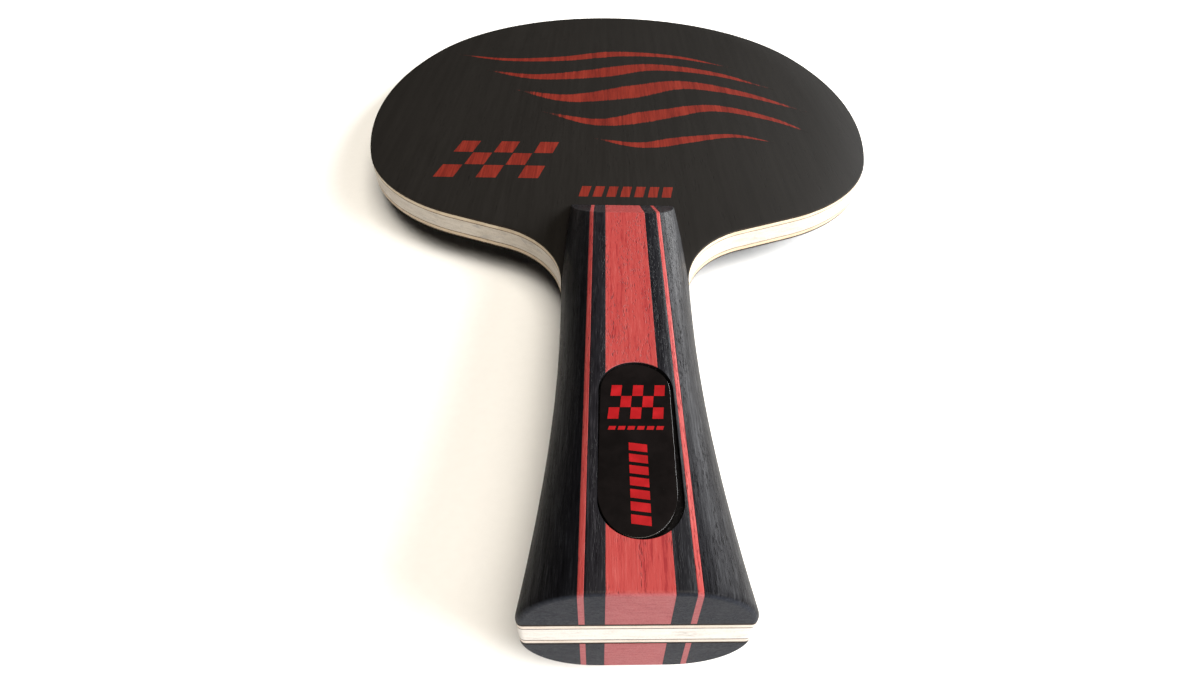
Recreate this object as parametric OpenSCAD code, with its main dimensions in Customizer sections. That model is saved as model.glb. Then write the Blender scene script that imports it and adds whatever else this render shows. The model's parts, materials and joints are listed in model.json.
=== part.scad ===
// Table tennis blade with a flared handle.
// The blade lies on its back: +Y runs from the butt of the handle to the tip
// of the head, +X to the right, +Z out of the printed front face.
// The origin is at the middle of the bounding box in X and Y and at its
// bottom in Z, on the flat of the back handle scale.

/* [Head] */
// Length over all, butt to tip
blade_len = 257; // [252:0.5:262]
// Radius of the rim over the tip
tip_r = 71; // [69:0.5:73]
// Radius of the rim at the widest part of the head
flank_r = 122; // [116:1:130]
// Radius of the rounded shoulders
shoulder_r = 48; // [44:0.5:50]
// Radius of the hollow between shoulder and handle
neck_r = 24; // [20:0.5:27]

/* [Plies] */
// Thickness of each black face veneer
face_ply = 0.5; // [0.4:0.05:0.7]
// Thickness of each pale inner veneer
inner_ply = 0.8; // [0.6:0.05:1]
// Thickness of each carbon-fibre layer
carbon_ply = 0.25; // [0.15:0.05:0.35]
// Thickness of the core
core_thick = 3.5; // [3:0.1:4]

/* [Handle] */
// Width of the handle at its narrowest
waist_w = 26; // [25.5:0.25:28.5]
// Width of the handle at the butt, before its corners are rounded
butt_w = 32.5; // [31:0.5:35.5]
// Thickness of one handle scale
scale_thick = 8.8; // [8:0.1:9.6]
// Slope of the scale's bevel at the head end, in degrees
bevel_slope = 26; // [22:1:32]
// Width of the scale's foot where the bevel ends
foot_w = 25.2; // [24:0.2:26]
// Depth of the shallow seat under each scale, which bounds the exposed face
seat_deep = 0.05; // [0.02:0.01:0.1]
// Radius of the upright corners of the butt
butt_corner_r = 1.2; // [1:0.1:2.5]
// Radius of the eased edge around the butt of each scale
butt_edge_r = 0.6; // [0.3:0.1:1]

/* [Strips of the handle scales] */
// Width of the red strip in the middle
centre_strip_w = 8.6; // [8:0.1:9.4]
// Width of the black strip beside it
inner_strip_w = 2.65; // [2:0.05:3]
// Width of the thin red strip
thin_strip_w = 0.8; // [0.6:0.05:1.2]

/* [Badge] */
// Width of the pocket in the front scale
pocket_w = 12; // [11.8:0.1:12.8]
// Length of the pocket
pocket_len = 32.5; // [31.5:0.5:34]
// Depth of the pocket
pocket_deep = 1.8; // [1.6:0.1:2.2]
// Distance from the butt to the middle of the pocket
pocket_y = 23.6; // [22:0.2:26]
// Width of the badge lens
lens_w = 11.1; // [10.6:0.1:11.2]
// Length of the badge lens
lens_len = 31.7; // [30:0.1:31.8]
// Length of the tapered lower end of the lens
lens_end = 7.2; // [6:0.2:11]
// Thickness of the badge lens
lens_thick = 1.4; // [1:0.1:1.6]
// Thickness of the adhesive pad under the lens
pad_thick = 0.3; // [0.2:0.1:0.4]

/* [Hidden] */

black = [0.13, 0.13, 0.135];
charcoal = [0.16, 0.17, 0.185];
red = [0.72, 0.22, 0.22];
cream = [0.90, 0.83, 0.70];
carbon_black = [0.25, 0.23, 0.21];

blade_thick = core_thick + 2 * (carbon_ply + inner_ply + face_ply);
half_t = blade_thick / 2;
mid_z = half_t + scale_thick;      // height of the middle of the core
y_shift = blade_len / 2;           // butt to origin

// ---- plan outline of the blade, right half, butt at y = 0 ----
// The rim is a chain of tangent arcs that starts at the tip heading along +X.
// A turn to the right is negative.
tip_turn = -67.5;
flank_turn = -40;
shoulder_turn = -50;
neck_end = -93.6;                  // heading where the hollow meets the handle
side_r = 430;                      // radius of the handle side above the waist

function arc_pts(p, h, r, a, n) = let (s = a < 0 ? -1 : 1)
    [for (i = [1:n]) let (k = h + a * i / n)
        p + s * r * [sin(k) - sin(h), cos(h) - cos(k)]];
function last(v) = v[len(v) - 1];

h1 = tip_turn;
h2 = h1 + flank_turn;
h3 = h2 + shoulder_turn;
tip_pts = arc_pts([0, blade_len], 0, tip_r, tip_turn, 30);
flank_pts = arc_pts(last(tip_pts), h1, flank_r, flank_turn, 22);
shoulder_pts = arc_pts(last(flank_pts), h2, shoulder_r, shoulder_turn, 20);
// half-width of the handle where the hollow meets it
neck_x = waist_w / 2 + side_r * (1 - cos(neck_end + 90));
// a short straight run brings the hollow out at that half-width
hollow_dx = neck_r * (sin(neck_end) - sin(h3));
run = (neck_x - last(shoulder_pts)[0] - hollow_dx) / cos(h3);
run_end = last(shoulder_pts) + run * [cos(h3), sin(h3)];
hollow_pts = arc_pts(run_end, h3, neck_r, neck_end - h3, 20);
neck_y = last(hollow_pts)[1];
waist_y = neck_y - side_r * sin(-90 - neck_end);

// half-width of the handle side at y, before the butt corner
flare = (butt_w - waist_w) / 2;
flare_r = (waist_y * waist_y + flare * flare) / (2 * flare);
function side(y) = y > waist_y
    ? waist_w / 2 + side_r - sqrt(side_r * side_r - (y - waist_y) * (y - waist_y))
    : waist_w / 2 + flare_r - sqrt(flare_r * flare_r - (waist_y - y) * (waist_y - y));
// how far an edge rounded with radius r falls back at y
function ease(y, r) = y < r ? r - sqrt(max(0, r * r - (r - y) * (r - y))) : 0;
// stations of the rounded butt corner, then along the handle
corner_ys = [for (i = [0:6]) butt_corner_r * (1 - cos(90 * i / 6))];
side_pts = concat(
    [for (i = [1:15]) let (y = neck_y - (neck_y - butt_corner_r) * i / 16) [side(y), y]],
    [for (i = [6:-1:0]) let (y = corner_ys[i]) [side(y) - ease(y, butt_corner_r), y]]);
half_outline = concat(tip_pts, flank_pts, shoulder_pts, [run_end], hollow_pts, side_pts);
outline = concat([[0, blade_len]], half_outline,
    [for (i = [len(half_outline) - 1:-1:0]) [-half_outline[i][0], half_outline[i][1]]]);

module ply(z0, z1) {
    translate([0, -y_shift, mid_z + z0])
        linear_extrude(height = z1 - z0) polygon(outline);
}

z_core = core_thick / 2;
z_carbon = z_core + carbon_ply;
z_inner = z_carbon + inner_ply;

module core_ply() { color(cream) ply(-z_core, z_core); }
module carbon_layer_front() { color(carbon_black) ply(z_core, z_carbon); }
module carbon_layer_back() { color(carbon_black) ply(-z_carbon, -z_core); }
module inner_ply_front() { color(cream) ply(z_carbon, z_inner); }
module inner_ply_back() { color(cream) ply(-z_inner, -z_carbon); }
module face_ply_front() {
    color(black) difference() { ply(z_inner, half_t); on_face(1) seat(); }
}
module face_ply_back() {
    color(black) difference() { ply(-half_t, -z_inner); on_face(-1) seat(); }
}

// ---- handle scales ----
// A scale is glued on the face ply and laminated from strips on edge. It is
// flat over the middle strip and rounds over to the handle side. At the head
// end a plane bevel takes it down to a thin foot.
foot_y = neck_y + 30.3;
foot_lip = 0.3;
x1 = centre_strip_w / 2;
x2 = x1 + inner_strip_w;
x3 = x2 + thin_strip_w;

// half-width of the scale: flush with the handle side, then drawn in to the foot
draw_y = neck_y - 12;
draw_slope = (draw_y - waist_y) / side_r;
draw_run = foot_y - draw_y;
draw_r = draw_run * draw_run / 2 / (side(draw_y) + draw_slope * draw_run - foot_w / 2);
function scale_side(y) = y < draw_y ? side(y) - ease(y, butt_corner_r)
    : side(draw_y) + draw_slope * (y - draw_y) - (y - draw_y) * (y - draw_y) / 2 / draw_r;

// height of the crown over the glue plane at x, y
function crown(x, y) = let (v = max(0, min(1, (x - x1) / (scale_side(y) - x1))))
    (scale_thick - ease(y, butt_edge_r)) * pow(1 - pow(v, 2.3), 0.59);
function bevel(y) = foot_lip + (foot_y - y) * tan(bevel_slope);
function top_z(x, y) = min(crown(x, y), bevel(y));

// A column runs along the handle at a share u of the way from xa to xb.
// A share of the full half-width is used where a strip reaches the side.
function col_x(xa, xb, u, y) = xa + u * ((xb == 0 ? scale_side(y) : xb) - xa);
// y where the bevel starts on that column, by halving
function crease(xa, xb, u, lo, hi, n) = let (m = (lo + hi) / 2)
    n == 0 ? m
    : crown(col_x(xa, xb, u, m), m) < bevel(m)
        ? crease(xa, xb, u, m, hi, n - 1) : crease(xa, xb, u, lo, m, n - 1);
runs = 24;
butt_ys = concat([for (i = [0:3]) butt_edge_r * (1 - cos(90 * i / 3))],
                 [for (i = [3:6]) butt_edge_r + (butt_corner_r - butt_edge_r) * (i - 2) / 4]);
function stations(xa, xb, u) = let (c = min(foot_y - 0.6, crease(xa, xb, u, 60, foot_y, 24)),
                                    y0 = last(butt_ys))
    concat(butt_ys, [for (i = [1:runs]) y0 + (c - y0) * i / runs], [foot_y]);

// One strip standing in the seat, between x = xa and x = xb,
// or out to the handle side where xb is 0.
module strip(xa, xb, us) {
    n = len(us);
    m = len(butt_ys) + runs + 1;
    g = -seat_deep;
    top = [for (u = us) let (s = stations(xa, xb, u))
        for (y = s) let (x = col_x(xa, xb, u, y)) [x, y, top_z(x, y)]];
    edge = xb == 0;
    // underside corners: inner butt, inner foot, then the outer edge,
    // which follows the handle side or is one straight line
    under = edge
        ? [for (i = [0:m - 1]) [top[(n - 1) * m + i][0], top[(n - 1) * m + i][1], g]]
        : [[xb, 0, g], [xb, foot_y, g]];
    base = concat([[xa, 0, g], [xa, foot_y, g]], under);
    k = n * m;
    o = (n - 1) * m;
    q = k + 2;
    e = len(under) - 1;
    skin = [for (i = [0:n - 2], j = [0:m - 2])
        let (a = i * m + j, b = a + m)
        each [[a, a + 1, b + 1], [a, b + 1, b]]];
    // the flat walls are fans of triangles from one underside corner
    inner_wall = concat([[k + 1, 0, k]], [for (j = [0:m - 2]) [k + 1, j + 1, j]]);
    outer_wall = edge
        ? [for (j = [0:m - 2]) each [[o + j, o + j + 1, q + j + 1], [o + j, q + j + 1, q + j]]]
        : concat([[q + 1, q, o]], [for (j = [0:m - 2]) [q + 1, o + j, o + j + 1]]);
    butt_end = concat([for (i = [0:n - 2]) [k, i * m, (i + 1) * m]], [[k, o, q]]);
    foot_end = concat([for (i = [0:n - 2]) [k + 1, (i + 2) * m - 1, (i + 1) * m - 1]],
                      [[k + 1, q + e, n * m - 1]]);
    floor_face = concat([for (j = [0:e - 1]) [k, q + j, q + j + 1]], [[k, q + e, k + 1]]);
    polyhedron(points = concat(top, base),
        faces = concat(skin, inner_wall, outer_wall, butt_end, foot_end, floor_face),
        convexity = 4);
}

// the middle strip has a flat top, so its side view is extruded across
module centre_strip() {
    side_view = concat([[0, -seat_deep]],
        [for (i = [0:4]) let (y = butt_edge_r * (1 - cos(90 * i / 4))) [y, scale_thick - ease(y, butt_edge_r)]],
        [[foot_y - (scale_thick - foot_lip) / tan(bevel_slope), scale_thick],
         [foot_y, foot_lip], [foot_y, -seat_deep]]);
    translate([-x1, 0, 0]) rotate([90, 0, 90])
        linear_extrude(height = centre_strip_w) polygon(side_view);
}

// places a strip of the front (side = 1) or back (side = -1) scale
module on_face(side) {
    translate([0, -y_shift, mid_z])
        if (side > 0) translate([0, 0, half_t]) children();
        else mirror([0, 0, 1]) translate([0, 0, half_t]) children();
}
module left() { mirror([1, 0, 0]) children(); }

// the shallow seat under a scale, a hair wider than the scale
module seat() {
    clear = 0.02;
    ys = [for (i = [0:8]) draw_y + (foot_y - draw_y) * i / 8];
    half = concat([[butt_w / 2 + 1, -1], [butt_w / 2 + 1, draw_y]],
        [for (y = ys) [scale_side(y) + clear, y]], [[foot_w / 2 + clear, foot_y + clear]]);
    translate([0, 0, -seat_deep]) linear_extrude(height = seat_deep + 1)
        polygon(concat(half, [for (i = [len(half) - 1:-1:0]) [-half[i][0], half[i][1]]]));
}
module inner_strip() { strip(x1, x2, [0, 0.5, 1]); }
module thin_strip() { strip(x2, x3, [0, 1]); }
module outer_strip() {
    strip(x3, 0, [0, 0.18, 0.34, 0.48, 0.6, 0.7, 0.79, 0.86, 0.915, 0.955, 0.98, 0.994, 1]);
}

// ---- badge pocket ----
pocket_x = 0.55;
lens_x = 0.27;
lens_turn = -1;
module obround(w, l, h) {
    linear_extrude(height = h) union() {
        square([w, l - w], center = true);
        for (s = [-1, 1]) translate([0, s * (l - w) / 2]) circle(d = w, $fn = 96);
    }
}
module pocket() {
    translate([pocket_x, pocket_y, scale_thick - pocket_deep])
        obround(pocket_w, pocket_len, pocket_deep + 2);
}

module front_centre_red_strip() {
    color(red) on_face(1) difference() { centre_strip(); pocket(); }
}
module front_inner_black_strip_left() {
    color(charcoal) on_face(1) difference() { left() inner_strip(); pocket(); }
}
module front_inner_black_strip_right() {
    color(charcoal) on_face(1) difference() { inner_strip(); pocket(); }
}
module front_thin_red_strip_left() { color(red) on_face(1) left() thin_strip(); }
module front_thin_red_strip_right() { color(red) on_face(1) thin_strip(); }
module front_outer_black_strip_left() { color(charcoal) on_face(1) left() outer_strip(); }
module front_outer_black_strip_right() { color(charcoal) on_face(1) outer_strip(); }
module back_centre_red_strip() { color(red) on_face(-1) centre_strip(); }
module back_inner_black_strip_left() { color(charcoal) on_face(-1) left() inner_strip(); }
module back_inner_black_strip_right() { color(charcoal) on_face(-1) inner_strip(); }
module back_thin_red_strip_left() { color(red) on_face(-1) left() thin_strip(); }
module back_thin_red_strip_right() { color(red) on_face(-1) thin_strip(); }
module back_outer_black_strip_left() { color(charcoal) on_face(-1) left() outer_strip(); }
module back_outer_black_strip_right() { color(charcoal) on_face(-1) outer_strip(); }

// the lens and its pad lie in the pocket, a little to the left and turned
module in_pocket(z) {
    on_face(1) translate([lens_x, pocket_y - 0.15, scale_thick - pocket_deep + z])
        rotate([0, 0, lens_turn]) children();
}
// lens outline less an inset: round above, drawn out to a half ellipse below
function lens_outline(inset) = let (r = lens_w / 2, top = lens_len / 2 - r, low = lens_end - lens_len / 2)
    concat([for (i = [0:20]) let (a = 9 * i) [(r - inset) * cos(a), top + (r - inset) * sin(a)]],
           [for (i = [0:24]) let (a = 180 + 7.5 * i) [(r - inset) * cos(a), low + (lens_end - inset) * sin(a)]]);
module badge_lens() {
    color("#141213") in_pocket(pad_thick) hull() {
        linear_extrude(height = lens_thick - 0.2) polygon(lens_outline(0));
        linear_extrude(height = lens_thick) polygon(lens_outline(0.2));
    }
}
module badge_adhesive_pad() {
    color("#d8d4c8") in_pocket(0)
        linear_extrude(height = pad_thick) polygon(lens_outline(0.4));
}

core_ply();
carbon_layer_front();
carbon_layer_back();
inner_ply_front();
inner_ply_back();
face_ply_front();
face_ply_back();
front_centre_red_strip();
front_inner_black_strip_left();
front_inner_black_strip_right();
front_thin_red_strip_left();
front_thin_red_strip_right();
front_outer_black_strip_left();
front_outer_black_strip_right();
back_centre_red_strip();
back_inner_black_strip_left();
back_inner_black_strip_right();
back_thin_red_strip_left();
back_thin_red_strip_right();
back_outer_black_strip_left();
back_outer_black_strip_right();
badge_lens();
badge_adhesive_pad();
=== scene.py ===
import json
import math

import bpy
import numpy as np
from mathutils import Matrix, Vector

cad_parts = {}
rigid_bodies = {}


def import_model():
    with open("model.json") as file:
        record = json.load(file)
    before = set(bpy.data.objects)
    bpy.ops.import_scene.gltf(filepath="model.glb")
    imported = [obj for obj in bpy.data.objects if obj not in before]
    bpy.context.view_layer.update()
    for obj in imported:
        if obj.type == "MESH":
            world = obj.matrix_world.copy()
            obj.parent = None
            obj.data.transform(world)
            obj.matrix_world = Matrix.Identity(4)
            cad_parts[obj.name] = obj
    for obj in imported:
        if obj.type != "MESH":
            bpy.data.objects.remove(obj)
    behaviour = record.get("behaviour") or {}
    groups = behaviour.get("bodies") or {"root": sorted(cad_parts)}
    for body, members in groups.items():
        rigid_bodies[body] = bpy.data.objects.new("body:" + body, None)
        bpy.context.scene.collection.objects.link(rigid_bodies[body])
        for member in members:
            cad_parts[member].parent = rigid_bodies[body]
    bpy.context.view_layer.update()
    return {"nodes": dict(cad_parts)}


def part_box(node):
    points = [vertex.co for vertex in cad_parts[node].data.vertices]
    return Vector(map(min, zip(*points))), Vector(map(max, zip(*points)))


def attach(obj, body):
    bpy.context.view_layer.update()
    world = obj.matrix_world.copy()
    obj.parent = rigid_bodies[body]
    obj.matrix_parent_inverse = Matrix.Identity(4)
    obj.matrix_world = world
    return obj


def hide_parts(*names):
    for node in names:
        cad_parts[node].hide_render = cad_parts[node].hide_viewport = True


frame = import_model()

MM = 0.001


def box_mm(node):
    lo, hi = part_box(node)
    return np.array(lo) / MM, np.array(hi) / MM


# ------------------------------------------------------------------ sizes
# Everything below works in millimetres with y = 0 at the butt and z = 0 in
# the middle of the core, then shifts to the frame.
core_lo, core_hi = box_mm("core_ply")
LENGTH = core_hi[1] - core_lo[1]
Y0 = core_lo[1]
Z0 = (core_lo[2] + core_hi[2]) / 2
Z_CORE = core_hi[2] - Z0
Z_CARBON = box_mm("carbon_layer_front")[1][2] - Z0
Z_INNER = box_mm("inner_ply_front")[1][2] - Z0
HALF_T = box_mm("face_ply_front")[1][2] - Z0
centre_lo, centre_hi = box_mm("front_centre_red_strip")
SCALE = centre_hi[2] - Z0 - HALF_T
X1 = centre_hi[0]
X2 = box_mm("front_inner_black_strip_right")[1][0]
X3 = box_mm("front_thin_red_strip_right")[1][0]
FOOT_Y = centre_hi[1] - Y0
lens_lo, lens_hi = box_mm("badge_lens")

TIP_R, FLANK_R, SHOULDER_R, NECK_R = 71.0, 122.0, 48.0, 24.0
TIP_TURN, FLANK_TURN, SHOULDER_TURN, NECK_END = -67.5, -40.0, -50.0, -93.6
WAIST, BUTT, SIDE_R = 26.0, 32.5, 430.0
FOOT_LIP, BEVEL, FOOT_W = 0.3, 26.0, 25.2
CORNER_R, EDGE_R = 1.2, 0.6


def arc(p, h, r, turn, step):
    """Points after p on an arc that starts at heading h, with the heading at each."""
    n = max(2, math.ceil(abs(turn) / step))
    s = -1.0 if turn < 0 else 1.0
    out = []
    for i in range(1, n + 1):
        k = h + turn * i / n
        a, b = math.radians(h), math.radians(k)
        out.append((p[0] + s * r * (math.sin(b) - math.sin(a)),
                    p[1] + s * r * (math.cos(a) - math.cos(b)), k))
    return out


h1 = TIP_TURN
h2 = h1 + FLANK_TURN
h3 = h2 + SHOULDER_TURN
tip = arc((0, LENGTH), 0, TIP_R, TIP_TURN, 0.9)
flank = arc(tip[-1], h1, FLANK_R, FLANK_TURN, 0.7)
shoulder = arc(flank[-1], h2, SHOULDER_R, SHOULDER_TURN, 1.2)
neck_x = WAIST / 2 + SIDE_R * (1 - math.cos(math.radians(NECK_END + 90)))
rad = math.radians
run = (neck_x - shoulder[-1][0] - NECK_R * (math.sin(rad(NECK_END)) - math.sin(rad(h3)))) / math.cos(rad(h3))
straight = [(shoulder[-1][0] + f * run * math.cos(rad(h3)), shoulder[-1][1] + f * run * math.sin(rad(h3)), h3)
            for f in (0.2, 0.4, 0.6, 0.8, 1.0)]
hollow = arc(straight[-1], h3, NECK_R, NECK_END - h3, 1.6)
neck_y = hollow[-1][1]
waist_y = neck_y - SIDE_R * math.sin(rad(-90 - NECK_END))
flare = (BUTT - WAIST) / 2
flare_r = (waist_y ** 2 + flare ** 2) / (2 * flare)


def side(y):
    y = np.asarray(y, float)
    up = WAIST / 2 + SIDE_R - np.sqrt(SIDE_R ** 2 - np.clip(y - waist_y, 0, 200) ** 2)
    down = WAIST / 2 + flare_r - np.sqrt(flare_r ** 2 - np.clip(waist_y - y, 0, 200) ** 2)
    return np.where(y > waist_y, up, down)


def ease(y, r):
    y = np.asarray(y, float)
    return np.where(y < r, r - np.sqrt(np.clip(r * r - (r - y) ** 2, 0, None)), 0.0)


# ------------------------------------------------------------------ meshes
def new_object(name, verts_mm, faces, sharp=None, materials=(), recalc=True):
    me = bpy.data.meshes.new(name)
    co = np.asarray(verts_mm, float) * MM
    me.from_pydata([tuple(v) for v in co], [], [tuple(int(i) for i in f) for f in faces])
    me.update()
    ob = bpy.data.objects.new(name, me)
    bpy.context.scene.collection.objects.link(ob)
    if recalc:
        import bmesh
        bm = bmesh.new()
        bm.from_mesh(me)
        bmesh.ops.recalc_face_normals(bm, faces=bm.faces)
        bm.to_mesh(me)
        bm.free()
    shade(me, sharp)
    for m in materials:
        me.materials.append(m)
    return ob


def shade(me, sharp):
    me.polygons.foreach_set("use_smooth", [sharp is not None] * len(me.polygons))
    if sharp is not None:
        me.set_sharp_from_angle(angle=math.radians(sharp))
    me.update()


def to_frame(v):
    v = np.array(v, float)
    v[..., 1] += Y0
    v[..., 2] += Z0
    return v


# ---- plies ----
side_ys = np.concatenate([np.linspace(neck_y, CORNER_R, 56)[1:],
                          CORNER_R * (1 - np.cos(np.radians(np.linspace(90, 0, 12)))) [1:]])
rim = [(0.0, LENGTH)] + [(p[0], p[1]) for p in tip + flank + shoulder + straight + hollow]
rim += [(float(side(y) - ease(y, CORNER_R)), float(y)) for y in side_ys]
rim = np.array(rim)
tangent = np.gradient(rim, axis=0)
tangent[0] = (1, 0)
tangent[-1] = (-1, 0)
tangent /= np.linalg.norm(tangent, axis=1)[:, None]
rim_normal = np.stack([-tangent[:, 1], tangent[:, 0]], 1)      # right-hand outline, tip to butt: outward
rim_normal[0] = (0, 1)
rim_normal[-1] = (0, -1)
if rim_normal[40][0] < 0:
    rim_normal[1:-1] *= -1
HEAD = np.clip((rim[:, 1] - neck_y + 2) / 14, 0, 1)


def ply(name, z0, z1, top=None, bottom=None, materials=(), sharp=28):
    """A layer of the blade. top and bottom list (inset, fall) steps of the eased edge on that side."""
    top = top or [(0.02, 0.0), (0.0, 0.02)]
    bottom = bottom or [(0.02, 0.0), (0.0, 0.02)]
    levels = [(i, z1 - f) for i, f in top] + [(i, z0 + f) for i, f in reversed(bottom)]
    cols = 13
    across = np.linspace(-1, 1, cols)
    n = len(rim)
    verts, faces = [], []

    def inset(amount):
        amount = np.where(np.full(n, amount) > 0.03, 0.03 + (amount - 0.03) * HEAD, amount)
        return rim - rim_normal * amount[:, None]

    def cap(amount, z):
        """Rows of vertices across the blade; the first is the one tip vertex."""
        pts = inset(amount)
        rows = [[len(verts)]]
        verts.append((0, pts[0][1], z))
        for j in range(1, n):
            rows.append(list(range(len(verts), len(verts) + cols)))
            for a in across:
                verts.append((pts[j][0] * a, pts[j][1], z))
        for i in range(cols - 1):
            faces.append((rows[0][0], rows[1][i], rows[1][i + 1]))
        for j in range(1, n - 1):
            for i in range(cols - 1):
                faces.append((rows[j][i], rows[j + 1][i], rows[j + 1][i + 1], rows[j][i + 1]))
        ring = [rows[0][0]] + [rows[j][-1] for j in range(1, n)] + rows[-1][-2::-1] + [rows[j][0] for j in range(n - 2, 0, -1)]
        return ring

    def loop(amount, z):
        pts = inset(amount)
        right = [(p[0], p[1], z) for p in pts]
        last = pts[-1]
        mid = [(last[0] * a, last[1], z) for a in across[-2::-1]]
        left = [(-p[0], p[1], z) for p in pts[n - 2:0:-1]]
        start = len(verts)
        verts.extend(right + mid + left)
        return list(range(start, len(verts)))

    rings = [cap(*levels[0])]
    for amount, z in levels[1:-1]:
        rings.append(loop(amount, z))
    rings.append(cap(*levels[-1]))
    for a, b in zip(rings, rings[1:]):
        m = len(a)
        for i in range(m):
            faces.append((a[i], a[(i + 1) % m], b[(i + 1) % m], b[i]))
    return new_object(name, to_frame(verts), faces, sharp=sharp, materials=materials)


# ---- handle scales ----
draw_y = neck_y - 12
draw_slope = (draw_y - waist_y) / SIDE_R
draw_run = FOOT_Y - draw_y
draw_r = draw_run ** 2 / 2 / (float(side(draw_y)) + draw_slope * draw_run - FOOT_W / 2)


def scale_side(y):
    y = np.asarray(y, float)
    d = y - draw_y
    return np.where(y < draw_y, side(y) - ease(y, CORNER_R), float(side(draw_y)) + draw_slope * d - d * d / 2 / draw_r)


def crown(x, y):
    v = np.clip((np.abs(x) - X1) / (scale_side(y) - X1), 0, 1)
    return (SCALE - ease(y, EDGE_R)) * (1 - v ** 2.3) ** 0.59


def bevel(y):
    return FOOT_LIP + (FOOT_Y - np.asarray(y, float)) * math.tan(math.radians(BEVEL))


def top_z(x, y):
    a, b, k = crown(x, y), bevel(y), 0.22
    h = np.clip(k - np.abs(a - b), 0, None) / k
    z = np.minimum(a, b) - h * h * k / 4
    z = z - ease(FOOT_Y - y, 0.16)
    return np.maximum(z, 0.03)


def crease(xa, xb, u):
    lo, hi = 60.0, FOOT_Y
    for _ in range(30):
        m = (lo + hi) / 2
        end = float(scale_side(m)) if xb is None else xb
        if float(crown(xa + u * (end - xa), m)) < float(bevel(m)):
            lo = m
        else:
            hi = m
    return lo


t = np.radians(np.linspace(0, 90, 11))
butt_rows = np.unique(np.round(np.concatenate([CORNER_R * (1 - np.cos(t)), EDGE_R * (1 - np.cos(t))]), 5))


def stations(c):
    c = min(c, FOOT_Y - 1.6)
    return np.concatenate([butt_rows,
                           np.linspace(CORNER_R, c - 1.0, 64)[1:],
                           np.linspace(c - 1.0, c + 1.0, 13)[1:],
                           np.linspace(c + 1.0, FOOT_Y - 0.2, 16)[1:],
                           FOOT_Y - 0.2 + 0.2 * np.sin(np.radians(np.linspace(0, 90, 5)))[1:]])


def strip(name, xa, xb, us, side_sign, mirror, materials=(), seed=1, pocket=None):
    """One strip of a scale from xa to xb, or to the handle side where xb is None."""
    seam = 0.05
    cols = []
    for u in us:
        ys = stations(crease(xa, xb, u))
        end = scale_side(ys) if xb is None else np.full(len(ys), xb)
        xs = xa + u * (end - xa)
        cols.append((xs, ys, top_z(xs, ys)))
    xs, ys, zs = (np.array([c[i] for c in cols]) for i in range(3))
    # the glued edges are broken a hair, so the joints show as fine lines
    first = (xs[0] + seam, ys[0], zs[0].copy())
    cut = [(xs[0], ys[0], zs[0] - 0.035)]
    if xb is not None:
        last = (xs[-1] - seam, ys[-1], zs[-1].copy())
        grid = cut + [first] + [(xs[i], ys[i], zs[i]) for i in range(1, len(us) - 1)] + [last, (xs[-1], ys[-1], zs[-1] - 0.035)]
    else:
        grid = cut + [first] + [(xs[i], ys[i], zs[i]) for i in range(1, len(us))]
    gx, gy, gz = (np.array([g[i] for g in grid]) for i in range(3))
    # the sanded surface isn't quite even
    r = np.random.default_rng(seed)
    even = np.clip((gz - 0.5) / 2, 0, 1) * np.clip(gy / 4, 0, 1)
    for lx, ly, amp in ((9, 31, 0.016), (4.3, 17, 0.010), (2.1, 9, 0.006)):
        gz = gz + amp * even * np.sin(gx * 2 * np.pi / lx + r.uniform(0, 6.28)) * np.sin(gy * 2 * np.pi / ly + r.uniform(0, 6.28))
    n, m = gx.shape
    top = np.stack([gx, gy, gz], -1)
    base = np.stack([gx, gy, np.zeros_like(gx)], -1)
    verts = list(top.reshape(-1, 3)) + list(base.reshape(-1, 3))
    faces = []
    for i in range(n - 1):
        for j in range(m - 1):
            a = i * m + j
            faces.append((a, a + m, a + m + 1, a + 1))
            b = n * m + a
            faces.append((b, b + 1, b + m + 1, b + m))
    ring = [i * m for i in range(n)] + [(n - 1) * m + j for j in range(1, m)] + \
           [i * m + m - 1 for i in range(n - 2, -1, -1)] + [j for j in range(m - 2, 0, -1)]
    k = len(verts)
    for q in ring:
        v = np.array(verts[q])
        v[2] -= min(0.12, v[2] / 2)
        verts.append(v)
    c = len(ring)
    for i in range(c):
        a, b = ring[i], ring[(i + 1) % c]
        p, q = k + i, k + (i + 1) % c
        faces.append((a, b, q, p))
        faces.append((p, q, b + n * m, a + n * m))
    v = np.array(verts)
    if mirror:
        v[:, 0] *= -1
    v[:, 2] = side_sign * (HALF_T + v[:, 2])
    ob = new_object(name, to_frame(v), faces, sharp=32, materials=materials)
    if pocket is not None:
        mod = ob.modifiers.new("pocket", "BOOLEAN")
        mod.operation, mod.object, mod.solver = "DIFFERENCE", pocket, "EXACT"
        bpy.context.view_layer.update()
        dg = bpy.context.evaluated_depsgraph_get()
        cut_mesh = bpy.data.meshes.new_from_object(ob.evaluated_get(dg))
        ob.modifiers.clear()
        old = ob.data
        ob.data = cut_mesh
        bpy.data.meshes.remove(old)
        ob.data.name = name
        shade(ob.data, 32)
    return ob


# ---- badge pocket, lens and pad ----
POCKET = dict(x=0.55, y=23.6, w=12.0, l=32.5, deep=1.8)
LENS = dict(x=0.27, y=23.45, w=11.1, l=31.7, end=7.2, turn=-1.0)


def obround(w, l, inset=0.0, per_end=36, per_side=14):
    """Points round an obround, counter-clockwise, starting at its right side."""
    r, h = w / 2 - inset, (l - w) / 2
    out = []
    for k in range(per_end):
        a = math.pi * k / per_end
        out.append((r * math.cos(a), h + r * math.sin(a)))
    for k in range(per_side):
        out.append((-r, h - 2 * h * k / per_side))
    for k in range(per_end):
        a = math.pi + math.pi * k / per_end
        out.append((r * math.cos(a), -h + r * math.sin(a)))
    for k in range(per_side):
        out.append((r, -h + 2 * h * k / per_side))
    return out


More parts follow.
